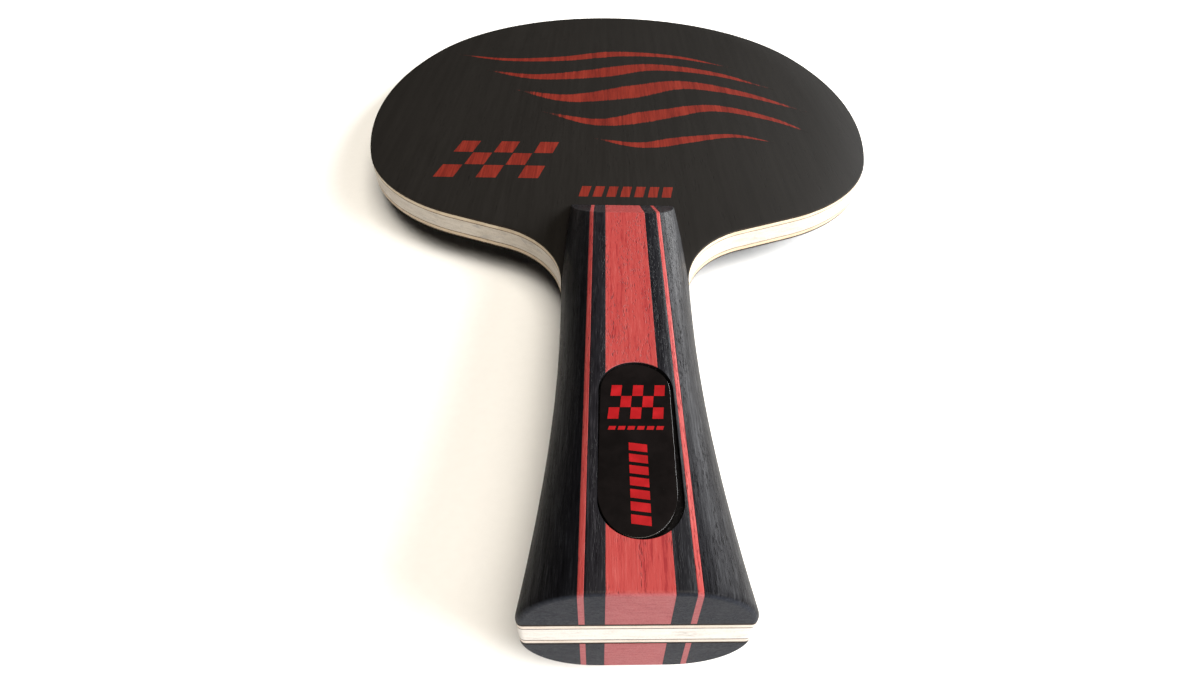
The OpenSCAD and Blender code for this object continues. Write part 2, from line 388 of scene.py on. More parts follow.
def lens_outline(inset=0.0, per_end=44, per_side=16):
    """Round above and drawn out to a half ellipse below, counter-clockwise from the right side."""
    r, end = LENS["w"] / 2, LENS["end"]
    top, low = LENS["l"] / 2 - r, end - LENS["l"] / 2
    out = []
    for k in range(per_end):
        a = math.pi * k / per_end
        out.append(((r - inset) * math.cos(a), top + (r - inset) * math.sin(a)))
    for k in range(per_side):
        out.append((inset - r, top + (low - top) * k / per_side))
    for k in range(per_end):
        a = math.pi + math.pi * k / per_end
        out.append(((r - inset) * math.cos(a), low + (end - inset) * math.sin(a)))
    for k in range(per_side):
        out.append((r - inset, low + (top - low) * k / per_side))
    return out


def pocket_cutter():
    verts, faces, rings = [], [], []
    top = HALF_T + SCALE
    for grow, z in ((0, top - POCKET["deep"]), (0, top - 0.10), (0.035, top - 0.02), (0.3, top + 0.9)):
        ring = []
        for x, y in obround(POCKET["w"], POCKET["l"], -grow):
            ring.append(len(verts))
            verts.append((x + POCKET["x"], y + POCKET["y"], z))
        rings.append(ring)
    for a, b in zip(rings, rings[1:]):
        for i in range(len(a)):
            j = (i + 1) % len(a)
            faces.append((a[i], a[j], b[j], b[i]))
    faces.append(rings[0][::-1])
    faces.append(rings[-1])
    return new_object("pocket_cutter", to_frame(verts), faces)


def turn_points(pts, x, y, deg):
    c, s = math.cos(math.radians(deg)), math.sin(math.radians(deg))
    return [(x + c * a - s * b, y + s * a + c * b) for a, b in pts]


LENS_BOTTOM = lens_lo[2] - Z0
LENS_TOP = lens_hi[2] - Z0


def lens_piece(name, materials):
    fillet = 0.075
    prof = [(0.05, LENS_BOTTOM), (0.0, LENS_BOTTOM + 0.05)]
    for k in range(8):
        a = math.radians(90 * k / 7)
        prof.append((fillet * (1 - math.cos(a)), LENS_TOP - 0.02 - fillet + fillet * math.sin(a)))
    prof += [(d, LENS_TOP - 0.02 + f) for d, f in ((0.5, 0.002), (1.4, 0.004), (3.0, 0.006), (4.8, 0.006))]
    verts, faces, rings = [], [], []
    for d, z in prof:
        ring = []
        for x, y in turn_points(lens_outline(d), LENS["x"], LENS["y"], LENS["turn"]):
            ring.append(len(verts))
            verts.append((x, y, z))
        rings.append(ring)
    for a, b in zip(rings, rings[1:]):
        for i in range(len(a)):
            j = (i + 1) % len(a)
            faces.append((a[i], a[j], b[j], b[i]))
    faces.append(rings[0][::-1])
    faces.append(rings[-1])
    return new_object(name, to_frame(verts), faces, sharp=40, materials=materials)


# ------------------------------------------------------------------ prints
def print_solid(name, shapes, z, materials, thick=0.012, sink=0.012):
    """Thin closed films. Each shape is a grid of (x, y, ink) points, as block and ribbon make them."""
    verts, faces, ink = [], [], []
    for rows in shapes:
        # rows is a grid [along][across] of (x, y, ink)
        g = np.array(rows, float)
        n, m = g.shape[:2]
        k = len(verts)
        for zz in (z + thick, z - sink):
            for i in range(n):
                for j in range(m):
                    verts.append((g[i, j, 0], g[i, j, 1], zz))
                    ink.append(g[i, j, 2])
        for i in range(n - 1):
            for j in range(m - 1):
                a = k + i * m + j
                b = a + n * m
                faces.append((a, a + 1, a + m + 1, a + m))
                faces.append((b, b + m, b + m + 1, b + 1))
        ring = [j for j in range(m)] + [i * m + m - 1 for i in range(1, n)] + \
               [(n - 1) * m + j for j in range(m - 2, -1, -1)] + [i * m for i in range(n - 2, 0, -1)]
        for p, q in zip(ring, ring[1:] + ring[:1]):
            faces.append((k + p, k + p + n * m, k + q + n * m, k + q))
    ob = new_object(name, to_frame(verts), faces, materials=materials)
    attr = ob.data.attributes.new("ink", "FLOAT", "POINT")
    attr.data.foreach_set("value", np.array(ink, np.float32))
    return ob


def block(corners, soft=0.16, n=9):
    """A four-cornered patch of ink with a soft edge, as a grid. corners run round it."""
    a, b, c, d = (np.array(p, float) for p in corners)
    w = (np.linalg.norm(b - a) + np.linalg.norm(c - d)) / 2
    h = (np.linalg.norm(d - a) + np.linalg.norm(c - b)) / 2
    us = [0, min(0.4, soft / w), 0.5, 1 - min(0.4, soft / w), 1]
    vs = [0, min(0.4, soft / h), 0.5, 1 - min(0.4, soft / h), 1]
    rows = []
    for j, v in enumerate(vs):
        row = []
        for i, u in enumerate(us):
            p = (1 - u) * (1 - v) * a + u * (1 - v) * b + u * v * c + (1 - u) * v * d
            row.append((p[0], p[1], 0.0 if i in (0, 4) or j in (0, 4) else 1.0))
        rows.append(row)
    return rows


def smooth_line(points, n):
    """Catmull-Rom through the points, n points evenly by parameter."""
    p = np.array(points, float)
    p = np.vstack([2 * p[0] - p[1], p, 2 * p[-1] - p[-2]])
    out = []
    for s in np.linspace(0, len(p) - 3 - 1e-9, n):
        i = int(s)
        f = s - i
        a, b, c, d = p[i:i + 4]
        out.append(0.5 * ((2 * b) + (-a + c) * f + (2 * a - 5 * b + 4 * c - d) * f * f + (-a + 3 * b - 3 * c + d) * f ** 3))
    return np.array(out)


def ribbon(points, width, lead=0.35, tail=0.65, n=90, fade=0.16, strength=1.0):
    """A tapered stroke through the points: width in mm at its fullest, lead and tail say how it tapers."""
    line = smooth_line(points, n)
    d = np.gradient(line, axis=0)
    d /= np.linalg.norm(d, axis=1)[:, None]
    nrm = np.stack([-d[:, 1], d[:, 0]], 1)
    s = np.linspace(0, 1, n)
    body = np.clip(s / lead, 0, 1) ** 0.8 * np.clip((1 - s) / tail, 0, 1) ** 0.9
    half = np.maximum(width / 2 * body, 0.12)
    dense = strength * np.clip(s / fade, 0.15, 1) * np.clip((1 - s) / fade, 0.1, 1)
    rows = []
    for i in range(n):
        row = []
        for c, k in ((-1, 0.0), (-0.72, 0.75), (-0.4, 1.0), (0, 1.0), (0.4, 1.0), (0.72, 0.75), (1, 0.0)):
            x, y = line[i] + nrm[i] * half[i] * c
            row.append((x, y, k * dense[i]))
        rows.append(row)
    return rows


# ------------------------------------------------------------------ materials
def srgb(r, g, b):
    return tuple((c / 255 / 12.92 if c / 255 <= 0.04045 else ((c / 255 + 0.055) / 1.055) ** 2.4) for c in (r, g, b)) + (1.0,)


class Mat:
    def __init__(self, name):
        self.mat = bpy.data.materials.new(name)
        self.mat.use_nodes = True
        self.tree = self.mat.node_tree
        self.nodes, self.links = self.tree.nodes, self.tree.links
        self.nodes.clear()
        self.out = self.nodes.new("ShaderNodeOutputMaterial")
        self.bsdf = self.nodes.new("ShaderNodeBsdfPrincipled")
        self.links.new(self.bsdf.outputs[0], self.out.inputs[0])
        self.coord = self.nodes.new("ShaderNodeTexCoord")
        self.geo = self.nodes.new("ShaderNodeNewGeometry")

    def put(self, socket, value):
        if isinstance(value, bpy.types.NodeSocket):
            self.links.new(value, socket)
        else:
            socket.default_value = value

    def vec(self, scale, offset=(0, 0, 0)):
        """Object coordinates in millimetres, shifted by offset, then times scale."""
        a = self.nodes.new("ShaderNodeMapping")
        a.vector_type = "POINT"
        self.links.new(self.coord.outputs["Object"], a.inputs[0])
        a.inputs["Scale"].default_value = tuple(1000 * s for s in scale)
        a.inputs["Location"].default_value = tuple(s * o for s, o in zip(scale, offset))
        return a.outputs[0]

    def math(self, op, a, b=0.0, c=0.0, clamp=False):
        n = self.nodes.new("ShaderNodeMath")
        n.operation, n.use_clamp = op, clamp
        for i, v in enumerate((a, b, c)):
            self.put(n.inputs[i], v)
        return n.outputs[0]

    def noise(self, vector, scale=1.0, detail=3.0, rough=0.55, distort=0.0):
        n = self.nodes.new("ShaderNodeTexNoise")
        n.noise_dimensions = "3D"
        self.links.new(vector, n.inputs["Vector"])
        n.inputs["Scale"].default_value = scale
        n.inputs["Detail"].default_value = detail
        n.inputs["Roughness"].default_value = rough
        n.inputs["Distortion"].default_value = distort
        return n.outputs[0]

    def voronoi(self, vector, scale=1.0, feature="F1", randomness=1.0):
        n = self.nodes.new("ShaderNodeTexVoronoi")
        n.feature = feature
        self.links.new(vector, n.inputs["Vector"])
        n.inputs["Scale"].default_value = scale
        n.inputs["Randomness"].default_value = randomness
        return n.outputs["Distance"]

    def step(self, value, lo, hi, a=0.0, b=1.0, smooth=True):
        n = self.nodes.new("ShaderNodeMapRange")
        n.interpolation_type = "SMOOTHSTEP" if smooth else "LINEAR"
        n.clamp = True
        self.put(n.inputs["Value"], value)
        n.inputs["From Min"].default_value = lo
        n.inputs["From Max"].default_value = hi
        n.inputs["To Min"].default_value = a
        n.inputs["To Max"].default_value = b
        return n.outputs[0]

    def mix(self, fac, a, b, mode="MIX"):
        n = self.nodes.new("ShaderNodeMix")
        n.data_type, n.blend_type = "RGBA", mode
        self.put(n.inputs[0], fac)
        self.put(n.inputs[6], a)
        self.put(n.inputs[7], b)
        return n.outputs[2]

    def ramp(self, fac, stops):
        n = self.nodes.new("ShaderNodeValToRGB")
        e = n.color_ramp.elements
        while len(e) < len(stops):
            e.new(0.5)
        for el, (pos, col) in zip(e, stops):
            el.position, el.color = pos, col
        self.put(n.inputs[0], fac)
        return n.outputs[0]

    def normal_part(self, axis):
        s = self.nodes.new("ShaderNodeSeparateXYZ")
        self.links.new(self.geo.outputs["Normal"], s.inputs[0])
        return self.math("ABSOLUTE", s.outputs[axis])

    def bump(self, height, strength, distance):
        n = self.nodes.new("ShaderNodeBump")
        n.inputs["Strength"].default_value = strength
        n.inputs["Distance"].default_value = distance
        self.put(n.inputs["Height"], height)
        self.links.new(n.outputs[0], self.bsdf.inputs["Normal"])

    def attribute(self, name):
        n = self.nodes.new("ShaderNodeAttribute")
        n.attribute_type, n.attribute_name = "GEOMETRY", name
        return n.outputs["Fac"]

    def set(self, **values):
        for k, v in values.items():
            self.put(self.bsdf.inputs[k.replace("_", " ")], v)
        return self.mat


def dyed_wood(name, dark, base, light, end, seed, pore, rough=0.45, pore_amount=1.0, end_dark=None, spec=0.14,
              end_spec=0.08, foot_shine=1.0):
    """Dyed wood with its grain along Y: fibres, streaks, open pores, and paler end grain."""
    m = Mat(name)
    r = np.random.default_rng(seed)
    off = tuple(r.uniform(-400, 400, 3))
    fibres = m.noise(m.vec((3.6, 0.24, 3.6), off), 1, 5, 0.68)
    streaks = m.noise(m.vec((1.7, 0.035, 1.7), off), 1, 3, 0.5)
    figure = m.noise(m.vec((0.33, 0.022, 0.33), off), 1, 2, 0.5)
    along = m.math("ADD", m.math("MULTIPLY", fibres, 0.58), m.math("ADD", m.math("MULTIPLY", streaks, 0.28), m.math("MULTIPLY", figure, 0.14)))
    colour = m.ramp(along, [(0.40, dark), (0.475, base), (0.53, base), (0.63, light)])
    # open pores: short dark dashes along the grain
    cell = m.voronoi(m.vec((3.6, 0.42, 3.6), off), 1)
    gate = m.noise(m.vec((0.8, 0.07, 0.8), off), 1, 2, 0.5)
    pores = m.math("MULTIPLY", m.step(cell, 0.30, 0.14), m.step(gate, 0.44, 0.56))
    fine = m.voronoi(m.vec((5.2, 0.7, 5.2), off), 1)
    fine = m.math("MULTIPLY", m.step(fine, 0.34, 0.14), m.step(gate, 0.36, 0.56))
    holes = m.math("MAXIMUM", m.math("MULTIPLY", pores, pore_amount), m.math("MULTIPLY", fine, 0.55 * pore_amount))
    colour = m.mix(holes, colour, pore)
    # end grain where the surface cuts across the fibres
    ny = m.normal_part(1)
    across = m.step(ny, 0.36, 0.97)
    speck = m.noise(m.vec((5.0, 5.0, 5.0), off), 1, 4, 0.65)
    ring = m.noise(m.vec((0.5, 0.5, 3.2), off), 1, 3, 0.5)
    dots = m.step(m.voronoi(m.vec((4.2, 4.2, 4.2), off), 1), 0.26, 0.08)
    end_mix = m.math("ADD", m.math("MULTIPLY", speck, 0.6), m.math("MULTIPLY", ring, 0.4))
    end_colour = m.ramp(end_mix, [(0.36, end_dark or base), (0.55, end), (0.75, end)])
    end_colour = m.mix(m.math("MULTIPLY", dots, 0.45), end_colour, pore)
    colour = m.mix(across, colour, end_colour)
    height = m.math("SUBTRACT", m.math("ADD", m.math("MULTIPLY", fibres, 0.5), m.math("MULTIPLY", streaks, 0.25)), m.math("MULTIPLY", holes, 0.7))
    m.bump(height, 0.8, 0.00011)
    rough_map = m.math("ADD", m.math("MULTIPLY", m.math("SUBTRACT", fibres, 0.5), 0.25), m.math("ADD", m.math("MULTIPLY", across, 0.12), rough))
    rough_map = m.math("ADD", rough_map, m.math("MULTIPLY", holes, 0.2), clamp=True)
    # the grip is worn matt, and the wood keeps more of its shine towards the foot of the scale
    place = m.nodes.new("ShaderNodeSeparateXYZ")
    m.links.new(m.coord.outputs["Object"], place.inputs[0])
    shine = m.step(place.outputs[1], (Y0 + 50) * MM, (Y0 + 95) * MM, spec, spec * foot_shine)
    shine = m.math("ADD", m.math("MULTIPLY", shine, m.math("SUBTRACT", 1.0, across)), m.math("MULTIPLY", across, end_spec))
    gloss = m.math("MULTIPLY", m.step(along, 0.42, 0.62, 0.5, 1.6, smooth=False), shine)
    m.set(Base_Color=colour, Roughness=rough_map, Specular_IOR_Level=gloss)
    return m.mat


VENEER_OFF = (133.0, -71.0, 17.0)


def veneer_layers(m, seed_off=VENEER_OFF):
    """Colour, roughness and height of the black face veneer."""
    fibres = m.noise(m.vec((3.6, 0.10, 3.6), seed_off), 1, 4, 0.62)
    streaks = m.noise(m.vec((0.55, 0.012, 0.55), seed_off), 1, 3, 0.5, 0.25)
    cloud = m.noise(m.vec((0.035, 0.018, 0.035), seed_off), 1, 2, 0.5)
    cell = m.voronoi(m.vec((1.9, 0.14, 1.9), seed_off), 1)
    gate = m.noise(m.vec((0.35, 0.03, 0.35), seed_off), 1, 2, 0.5)
    pores = m.math("MULTIPLY", m.step(cell, 0.28, 0.10), m.step(gate, 0.46, 0.58))
    mixed = m.math("ADD", m.math("MULTIPLY", fibres, 0.4), m.math("ADD", m.math("MULTIPLY", streaks, 0.4), m.math("MULTIPLY", cloud, 0.2)))
    colour = m.ramp(mixed, [(0.38, srgb(20, 18, 16)), (0.5, srgb(23, 21, 19)), (0.62, srgb(26, 24, 22))])
    colour = m.mix(m.math("MULTIPLY", pores, 0.6), colour, srgb(9, 8, 7))
    rough = m.math("ADD", m.math("MULTIPLY", m.math("SUBTRACT", fibres, 0.5), 0.2), 0.66)
    height = m.math("SUBTRACT", m.math("MULTIPLY", fibres, 0.6), m.math("MULTIPLY", pores, 0.6))
    return colour, rough, height, fibres, streaks


def black_veneer():
    m = Mat("black_veneer")
    colour, rough, height, fibres, streaks = veneer_layers(m)
    # on the rim the veneer shows its cut edge, a little browner
    side_part = m.step(m.normal_part(2), 0.8, 0.3)
    colour = m.mix(m.math("MULTIPLY", side_part, 0.6), colour, srgb(52, 44, 38))
    m.bump(height, 0.5, 0.00004)
    return m.set(Base_Color=colour, Roughness=rough, Specular_IOR_Level=0.09)


def face_print():
    """Red ink in the veneer: the grain shows through it and it thins at its edges."""
    m = Mat("red_face_print")
    colour, rough, height, fibres, streaks = veneer_layers(m)
    ink = m.attribute("ink")
    tooth = m.math("ADD", m.math("MULTIPLY", m.math("SUBTRACT", fibres, 0.5), 0.9), m.math("MULTIPLY", m.math("SUBTRACT", streaks, 0.5), 0.5))
    mask = m.step(m.math("ADD", ink, tooth), 0.12, 0.62, 0.0, 0.95)
    tone = m.ramp(m.math("ADD", m.math("MULTIPLY", fibres, 0.55), m.math("MULTIPLY", streaks, 0.45)),
                  [(0.38, srgb(82, 22, 16)), (0.5, srgb(102, 30, 21)), (0.62, srgb(116, 38, 27))])
    colour = m.mix(mask, colour, tone)
    m.bump(height, 0.45, 0.00004)
    return m.set(Base_Color=colour, Roughness=m.math("SUBTRACT", rough, m.math("MULTIPLY", mask, 0.04)), Specular_IOR_Level=0.1)


def at_butt(m):
    """1 on the butt cut, 0 round the rim."""
    s = m.nodes.new("ShaderNodeSeparateXYZ")
    m.links.new(m.coord.outputs["Object"], s.inputs[0])
    return m.step(s.outputs[1], (Y0 + 2.4) * MM, (Y0 + 0.5) * MM)


def pale_wood(name, base, dark, light, seed, rim, smudge=0.5, pore_col=None):
    """Pale light wood at its sanded edge: clean end grain at the butt, and round the rim a darker colour set that is
    painted shade.
    """
    m = Mat(name)
    r = np.random.default_rng(seed)
    off = tuple(r.uniform(-300, 300, 3))
    fine = m.noise(m.vec((5.5, 1.6, 5.5), off), 1, 4, 0.65)
    bands = m.noise(m.vec((0.3, 0.05, 1.6), off), 1, 3, 0.5, 0.2)
    mixed = m.math("ADD", m.math("MULTIPLY", fine, 0.55), m.math("MULTIPLY", bands, 0.45))
    colour = m.ramp(mixed, [(0.34, dark), (0.5, base), (0.66, light)])
    # the darker rim colours paint the shade on the rim; the butt cut keeps the clean colours
    colour = m.mix(at_butt(m), m.ramp(mixed, [(0.34, rim[1]), (0.5, rim[0]), (0.66, rim[2])]), colour)
    # pores cut by the edge, in loose groups
    cell = m.voronoi(m.vec((2.6, 1.4, 3.4), off), 1)
    gate = m.noise(m.vec((0.22, 0.22, 0.5), off), 1, 2, 0.5)
    pores = m.math("MULTIPLY", m.step(cell, 0.22, 0.06), m.step(gate, 0.50, 0.60))
    colour = m.mix(m.math("MULTIPLY", pores, 0.6), colour, pore_col or srgb(132, 112, 94))
    # faint grey handling marks
    mark = m.noise(m.vec((0.22, 0.22, 0.6), off), 1, 5, 0.68)
    colour = m.mix(m.math("MULTIPLY", m.step(mark, 0.54, 0.70), smudge), colour, srgb(150, 144, 142))
    height = m.math("SUBTRACT", fine, m.math("MULTIPLY", pores, 0.8))
    m.bump(height, 0.6, 0.00005)
    return m.set(Base_Color=colour, Roughness=m.math("ADD", m.math("MULTIPLY", fine, 0.2), 0.52), Specular_IOR_Level=0.3)


def carbon_material():
    m = Mat("carbon_layer")
    off = (31.0, 57.0, -12.0)
    weave = m.noise(m.vec((1.2, 1.2, 9), off), 1, 3, 0.6)
    speck = m.noise(m.vec((7, 7, 7), off), 1, 3, 0.6)
    dust = m.noise(m.vec((0.3, 0.3, 1), off), 1, 3, 0.55)
    mixed = m.math("ADD", m.math("MULTIPLY", weave, 0.5), m.math("ADD", m.math("MULTIPLY", speck, 0.3), m.math("MULTIPLY", dust, 0.2)))
    colour = m.ramp(mixed, [(0.38, srgb(56, 50, 46)), (0.5, srgb(84, 76, 68)), (0.62, srgb(138, 125, 112))])
    rim = m.ramp(mixed, [(0.38, srgb(92, 80, 68)), (0.5, srgb(122, 108, 93)), (0.62, srgb(160, 144, 125))])
    colour = m.mix(at_butt(m), rim, colour)
    m.bump(speck, 0.6, 0.00004)
    return m.set(Base_Color=colour, Roughness=m.math("ADD", m.math("MULTIPLY", speck, 0.2), 0.45), Specular_IOR_Level=0.4)


def lens_material():
    m = Mat("badge_lens")
    haze = m.noise(m.vec((0.25, 0.25, 0.25), (9, 4, 2)), 1, 3, 0.6)
    hair = m.noise(m.vec((0.6, 14, 1), (5, 8, 1)), 1, 2, 0.5)
    hair2 = m.noise(m.vec((11, 0.9, 1), (15, 3, 1)), 1, 2, 0.5)
    scuff = m.math("MULTIPLY", m.step(m.math("MAXIMUM", hair, hair2), 0.66, 0.8), 0.10)
    colour = m.ramp(haze, [(0.35, srgb(11, 9, 9)), (0.65, srgb(17, 14, 14))])
    rough = m.math("ADD", m.math("ADD", m.math("MULTIPLY", haze, 0.08), 0.13), scuff)
    return m.set(Base_Color=colour, Roughness=rough, Specular_IOR_Level=0.35, Coat_Weight=0.2, Coat_Roughness=0.08)


def badge_ink():
    m = Mat("red_badge_print")
    cloud = m.noise(m.vec((0.5, 0.5, 0.5), (2, 6, 4)), 1, 2, 0.5)
    grain = m.noise(m.vec((9, 9, 9), (2, 6, 4)), 1, 3, 0.6)
    mixed = m.math("ADD", m.math("MULTIPLY", cloud, 0.6), m.math("MULTIPLY", grain, 0.4))
    colour = m.ramp(mixed, [(0.38, srgb(124, 11, 15)), (0.5, srgb(135, 13, 18)), (0.62, srgb(146, 19, 24))])
    return m.set(Base_Color=colour, Roughness=m.math("ADD", m.math("MULTIPLY", grain, 0.1), 0.28), Specular_IOR_Level=0.45)


def pad_material():
    m = Mat("adhesive_pad")
    foam = m.voronoi(m.vec((6, 6, 6), (1, 2, 3)), 1)
    colour = m.ramp(foam, [(0.1, srgb(120, 116, 106)), (0.5, srgb(196, 190, 176)), (0.9, srgb(214, 208, 196))])
    m.bump(foam, 0.6, 0.00005)
    return m.set(Base_Color=colour, Roughness=m.math("ADD", m.math("MULTIPLY", foam, 0.2), 0.6))


def pocket_shade_material():
    """The routed wall and floor of the pocket, painted near-black as shade in the recess, with a few pale fibre flecks.
    """
    m = Mat("pocket_painted_shade")
    fuzz = m.noise(m.vec((6, 1.2, 6), (4, 4, 9)), 1, 4, 0.65)
    flecks = m.step(m.noise(m.vec((3.2, 3.2, 3.2), (14, 4, 9)), 1, 3, 0.6), 0.60, 0.68)
    # the near-black colours are painted shade in the recess
    colour = m.ramp(fuzz, [(0.35, srgb(7, 6, 7)), (0.6, srgb(13, 12, 14))])
    colour = m.mix(m.math("MULTIPLY", flecks, 0.5), colour, srgb(70, 68, 74))
    m.bump(fuzz, 0.8, 0.0001)
    return m.set(Base_Color=colour, Roughness=m.math("ADD", m.math("MULTIPLY", fuzz, 0.2), 0.55), Specular_IOR_Level=0.15)


def floor_material():
    m = Mat("white_table")
    grain = m.noise(m.vec((0.6, 0.6, 0.6)), 1, 4, 0.6)
    colour = m.ramp(grain, [(0.3, (0.93, 0.93, 0.925, 1)), (0.7, (0.95, 0.95, 0.945, 1))])
    m.bump(grain, 0.2, 0.00004)
    return m.set(Base_Color=colour, Roughness=0.7, Specular_IOR_Level=0.2)


RED = dict(dark=srgb(124, 40, 42), base=srgb(144, 55, 53), light=srgb(155, 70, 67), end=srgb(156, 89, 92), end_dark=srgb(138, 72, 76), pore=srgb(88, 24, 27))
BLACK = dict(dark=srgb(9, 9, 12), base=srgb(16, 16, 20), light=srgb(35, 36, 41), end=srgb(35, 38, 46), end_dark=srgb(28, 31, 38), pore=srgb(4, 4, 5), spec=0.13)
INNER_LEFT = dict(BLACK, dark=srgb(14, 13, 16), base=srgb(23, 22, 26), light=srgb(44, 43, 48))
# the outer strips are worn matt where the hand grips them; the left one is a darker, less shiny copy of the right,
# which paints shade on the side away from the light
OUTER = dict(left=dict(dark=srgb(8, 8, 10), base=srgb(13, 13, 16), light=srgb(28, 29, 33), spec=0.035, foot_shine=2.6),
             right=dict(dark=srgb(8, 8, 11), base=srgb(15, 15, 19), light=srgb(33, 34, 38), spec=0.066, foot_shine=2.8))
PRINT_FACE = face_print()
PRINT_BADGE = badge_ink()
LENS_MAT = lens_material()
POCKET_SHADE_MAT = pocket_shade_material()
VENEER = black_veneer()
CARBON = carbon_material()
CORE_MAT = pale_wood("pale_core", srgb(210, 206, 202), srgb(190, 183, 175), srgb(217, 213, 210), 11,
                     (srgb(191, 183, 172), srgb(168, 158, 145), srgb(203, 196, 186)), smudge=0.65)
INNER_F = pale_wood("pale_inner_front", srgb(206, 194, 184), srgb(186, 171, 157), srgb(214, 205, 195), 12,
                    (srgb(201, 185, 160), srgb(180, 161, 134), srgb(209, 196, 174)), smudge=0.25)
# the back inner ply is a slightly darker copy, most of all round the rim: painted shade for the underside
INNER_B = pale_wood("pale_inner_back", srgb(204, 192, 182), srgb(184, 169, 155), srgb(212, 203, 193), 13,
                    (srgb(193, 174, 148), srgb(172, 150, 123), srgb(204, 187, 164)), smudge=0.25)


# ------------------------------------------------------------------ the pieces
def finish_piece(ob, node=None):
    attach(ob, "root")
    if node:
        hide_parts(node)
    return ob


soft_top = [(0.30, 0.0), (0.17, 0.02), (0.07, 0.08), (0.015, 0.19), (0.0, 0.32)]
hard = [(0.02, 0.0), (0.0, 0.02)]
finish_piece(ply("core_ply_wood", -Z_CORE, Z_CORE, materials=[CORE_MAT]), "core_ply")
for name, sgn, a, b, mat, slot in (
        ("carbon_layer_front", 1, Z_CORE, Z_CARBON, CARBON, "carbon_layer"),
        ("carbon_layer_back", -1, Z_CORE, Z_CARBON, CARBON, "carbon_layer"),
        ("inner_ply_front", 1, Z_CARBON, Z_INNER, INNER_F, "pale_ply"),
        ("inner_ply_back", -1, Z_CARBON, Z_INNER, INNER_B, "pale_ply")):
    z0, z1 = (a, b) if sgn > 0 else (-b, -a)
    finish_piece(ply(name + "_sheet", z0, z1, materials=[mat]), name)
finish_piece(ply("face_ply_front_veneer", Z_INNER, HALF_T, top=soft_top, bottom=hard, materials=[VENEER]), "face_ply_front")
finish_piece(ply("face_ply_back_veneer", -HALF_T, -Z_INNER, top=hard, bottom=soft_top, materials=[VENEER]), "face_ply_back")

cutter = pocket_cutter()
tt = np.linspace(0, 1, 38)
outer_us = 1 - (1 - tt) ** 1.9
outer_us[0], outer_us[-1] = 0, 1
centre_us = np.linspace(0, 1, 19)
inner_us = np.linspace(0, 1, 9)
thin_us = np.linspace(0, 1, 5)
seed = 100
for face, sgn in (("front", 1), ("back", -1)):
    seed += 1
    red = dyed_wood(f"red_wood_{face}_centre", seed=seed, **RED)
    ob = strip(f"{face}_centre_red_strip_wood", -X1, X1, centre_us, sgn, False, [red, POCKET_SHADE_MAT] if sgn > 0 else [red],
               seed=40 + sgn, pocket=cutter if sgn > 0 else None)
    finish_piece(ob, f"{face}_centre_red_strip")
    for hand, mirror in (("left", True), ("right", False)):
        seed += 1
        for part, xa, xb, us, look, slot in (
                ("inner_black_strip", X1, X2, inner_us, BLACK, "black_dyed_wood"),
                ("thin_red_strip", X2, X3, thin_us, RED, "red_dyed_wood"),
                ("outer_black_strip", X3, None, outer_us, BLACK, "black_dyed_wood")):
            seed += 1
            if part == "outer_black_strip":
                look = dict(BLACK, **OUTER[hand])
            elif face == "front" and hand == "left" and part == "inner_black_strip":
                look = INNER_LEFT
            mat = dyed_wood(f"{slot}_{face}_{part}_{hand}", seed=seed, **look)
            cut = sgn > 0 and part == "inner_black_strip"
            ob = strip(f"{face}_{part}_{hand}_wood", xa, xb, us, sgn, mirror, [mat, POCKET_SHADE_MAT] if cut else [mat],
                       seed=40 + sgn, pocket=cutter if cut else None)
            finish_piece(ob, f"{face}_{part}_{hand}")
bpy.data.objects.remove(cutter)

# the walls and floor of the pocket get the near-black material that paints the shade in the recess
for ob in list(bpy.data.objects):
    if ob.type == "MESH" and len(ob.data.materials) == 2 and ob.data.materials[1] == POCKET_SHADE_MAT:
        for p in ob.data.polygons:
            c = np.array(p.center) / MM - (0, Y0, Z0)
            dx, dy = c[0] - POCKET["x"], c[1] - POCKET["y"]
            h = (POCKET["l"] - POCKET["w"]) / 2
            r = math.hypot(dx, max(0.0, abs(dy) - h))
            inside = r < POCKET["w"] / 2 + 0.03 and c[2] > HALF_T + SCALE - POCKET["deep"] - 0.05
            p.material_index = 1 if inside and c[2] < HALF_T + SCALE - 0.12 else 0

finish_piece(lens_piece("badge_lens_gloss", [LENS_MAT]), "badge_lens")
pad = frame["nodes"]["badge_adhesive_pad"]
pad.data.materials.clear()
pad.data.materials.append(pad_material())


def slanted(x, y, w, h, lean, **k):
    return block([(x, y), (x + w, y), (x + w + lean, y + h), (x + lean, y + h)], **k)


def checker(x, y, w, h, lean, columns, rows, gap, **k):
    """Every other field of a leaning checkerboard, from its lower left corner."""
    out = []
    for j in range(rows):
        for i in range(columns):
            if (i + j) % 2 == 0:
                out.append(slanted(x + i * w + lean * j + gap / 2, y + j * h + gap / 2, w - gap, h - gap, lean * (h - gap) / h, **k))
    return out


# a row of dashes near the handle
dashes = [slanted(-11.2 + 3.55 * i, 108.5, 2.5, 5.4, 0.9) for i in range(7)]
finish_piece(print_solid("front_print_dashes", dashes, HALF_T, [PRINT_FACE]))
# a patch of checks on the left
finish_piece(print_solid("front_print_checks", checker(-50.0, 117.5, 5.6, 7.2, 1.5, 5, 3, 0.2), HALF_T, [PRINT_FACE]))
